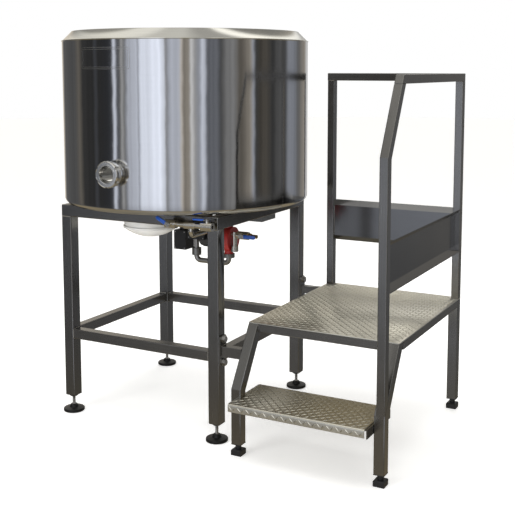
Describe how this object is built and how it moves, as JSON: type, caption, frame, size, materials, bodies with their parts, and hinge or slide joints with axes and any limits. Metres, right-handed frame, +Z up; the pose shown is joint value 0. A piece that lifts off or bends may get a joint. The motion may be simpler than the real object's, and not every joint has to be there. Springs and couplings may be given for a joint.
{
  "type": "jacketed vat with service platform",
  "caption": "Open round insulated steel vat with a bottom-side outlet on a square tube stand, heating gear under it and a bolted-on step and railed platform.",
  "frame": {"origin": "on the floor, under the middle of the assembly's bounding box", "axes": "+X from the vat towards the platform's railed side, +Y from the outlet side to the rear, +Z up"},
  "size_m": [1.9684, 1.3335, 1.967],
  "materials": {
    "shell_sheet": "fine horizontal brushing",
    "rim_sheet": "fine brushing round the rim",
    "vessel_sheet": "smooth rolled sheet",
    "foam": "rigid foam",
    "spacer": "matte",
    "fitting_steel": "turned",
    "nickel": "nickel plated",
    "seal": "matte",
    "heater_rod": "satin",
    "box_black": "moulded",
    "tank_white": "gloss paint",
    "pump_red": "paint on casting",
    "motor_dark": "paint",
    "rotor_steel": "turned",
    "nut_grey": "galvanised",
    "pipe_grey": "dull pipe",
    "lever_blue": "coated",
    "brass": "turned",
    "frame_steel": "brushed along the tube",
    "stair_steel": "brushed along the tube",
    "panel_steel": "bent sheet",
    "plate_steel": "raised diamond pattern",
    "bolt_steel": "stainless fasteners",
    "foot_black": "moulded"
  },
  "bodies": {
    "vat_and_platform": {"outer_shell": "shell_sheet", "rim_cone": "rim_sheet", "inner_vessel": "vessel_sheet", "jacket_shell": "vessel_sheet", "insulation": "foam", "base_plate": "vessel_sheet", "support_pads": "spacer", "outlet_pipe": "fitting_steel", "outlet_gasket": "seal", "outlet_liner": "fitting_steel", "heating_element": "heater_rod", "heater_box": "box_black", "temp_probe": "fitting_steel", "expansion_vessel": "tank_white", "pump_volute": "pump_red", "pump_motor": "motor_dark", "pump_terminal_box": "box_black", "union_nuts": "nut_grey", "flow_pipe": "pipe_grey", "return_pipe": "pipe_grey", "fill_manifold": "nickel", "valve_bodies": "nickel", "hose_nozzle": "brass", "drain_tee": "nickel", "wiring_box": "box_black", "stand_legs": "frame_steel", "top_beams": "frame_steel", "lower_rails": "frame_steel", "leg_caps": "foot_black", "deck_plate": "plate_steel", "step_tread": "plate_steel", "step_brackets": "stair_steel", "stringer_left": "stair_steel", "stringer_right": "stair_steel", "rear_leg": "stair_steel", "deck_frame": "stair_steel", "guard_posts": "stair_steel", "top_rails": "stair_steel", "sloped_rail": "stair_steel", "rear_panel": "panel_steel", "side_panel": "panel_steel", "link_rail": "stair_steel", "link_bolts": "bolt_steel", "tube_inserts": "foot_black"},
    "pad_1": {"foot_pad_1": "foot_black"},
    "spindle_1": {"foot_spindle_1": "bolt_steel"},
    "pad_2": {"foot_pad_2": "foot_black"},
    "spindle_2": {"foot_spindle_2": "bolt_steel"},
    "pad_3": {"foot_pad_3": "foot_black"},
    "spindle_3": {"foot_spindle_3": "bolt_steel"},
    "pad_4": {"foot_pad_4": "foot_black"},
    "spindle_4": {"foot_spindle_4": "bolt_steel"},
    "stair_foot_1": {"stair_foot_1": "foot_black"},
    "stair_foot_2": {"stair_foot_2": "foot_black"},
    "stair_foot_3": {"stair_foot_3": "foot_black"},
    "lever_fill": {"lever_fill": "lever_blue"},
    "lever_drain": {"lever_drain": "lever_blue"},
    "lever_blowdown": {"lever_blowdown": "lever_blue"},
    "outlet_nut": {"outlet_nut": "fitting_steel"},
    "pump_rotor": {"pump_rotor": "rotor_steel"}
  },
  "joints": [
    {"name": "foot_height_1", "type": "slide", "parent": "vat_and_platform", "child": "pad_1", "axis": [0, 0, 1], "range_m": [-0.025, 0.03]},
    {"name": "foot_screw_1", "type": "hinge", "parent": "pad_1", "child": "spindle_1", "pos_m": [-0.78125, -0.40575, 0.06], "axis": [0, 0, 1], "range_deg": [-4501, 5401]},
    {"name": "foot_height_2", "type": "slide", "parent": "vat_and_platform", "child": "pad_2", "axis": [0, 0, 1], "range_m": [-0.025, 0.03]},
    {"name": "foot_screw_2", "type": "hinge", "parent": "pad_2", "child": "spindle_2", "pos_m": [0.08875, -0.40575, 0.06], "axis": [0, 0, 1], "range_deg": [-4501, 5401]},
    {"name": "foot_height_3", "type": "slide", "parent": "vat_and_platform", "child": "pad_3", "axis": [0, 0, 1], "range_m": [-0.025, 0.03]},
    {"name": "foot_screw_3", "type": "hinge", "parent": "pad_3", "child": "spindle_3", "pos_m": [0.08875, 0.46425, 0.06], "axis": [0, 0, 1], "range_deg": [-4501, 5401]},
    {"name": "foot_height_4", "type": "slide", "parent": "vat_and_platform", "child": "pad_4", "axis": [0, 0, 1], "range_m": [-0.025, 0.03]},
    {"name": "foot_screw_4", "type": "hinge", "parent": "pad_4", "child": "spindle_4", "pos_m": [-0.78125, 0.46425, 0.06], "axis": [0, 0, 1], "range_deg": [-4501, 5401]},
    {"name": "stair_foot_height_1", "type": "slide", "parent": "vat_and_platform", "child": "stair_foot_1", "axis": [0, 0, 1], "range_m": [-0.02, 0.02]},
    {"name": "stair_foot_height_2", "type": "slide", "parent": "vat_and_platform", "child": "stair_foot_2", "axis": [0, 0, 1], "range_m": [-0.02, 0.02]},
    {"name": "stair_foot_height_3", "type": "slide", "parent": "vat_and_platform", "child": "stair_foot_3", "axis": [0, 0, 1], "range_m": [-0.02, 0.02]},
    {"name": "fill_valve_turn", "type": "hinge", "parent": "vat_and_platform", "child": "lever_fill", "pos_m": [-0.11425, -0.47575, 1.05], "axis": [0, -1, 0], "range_deg": [0, 90]},
    {"name": "drain_valve_turn", "type": "hinge", "parent": "vat_and_platform", "child": "lever_drain", "pos_m": [0.08375, -0.47575, 1.05], "axis": [0, 0, 1], "range_deg": [0, 90]},
    {"name": "blowdown_valve_turn", "type": "hinge", "parent": "vat_and_platform", "child": "lever_blowdown", "pos_m": [0.09175, -0.14575, 0.958], "axis": [0, 1, 0], "range_deg": [0, 90]},
    {"name": "outlet_nut_spin", "type": "hinge", "parent": "vat_and_platform", "child": "outlet_nut", "pos_m": [-0.34625, -0.65075, 1.289], "axis": [0, -1, 0], "continuous": true},
    {"name": "pump_spin", "type": "hinge", "parent": "vat_and_platform", "child": "pump_rotor", "pos_m": [-0.03425, -0.12075, 0.93], "axis": [1, 0, 0], "continuous": true}
  ],
  "couplings": [
    {"joint": "foot_screw_1", "follows": "foot_height_1", "rad_per_m": 3141.6},
    {"joint": "foot_screw_2", "follows": "foot_height_2", "rad_per_m": 3141.6},
    {"joint": "foot_screw_3", "follows": "foot_height_3", "rad_per_m": 3141.6},
    {"joint": "foot_screw_4", "follows": "foot_height_4", "rad_per_m": 3141.6}
  ]
}
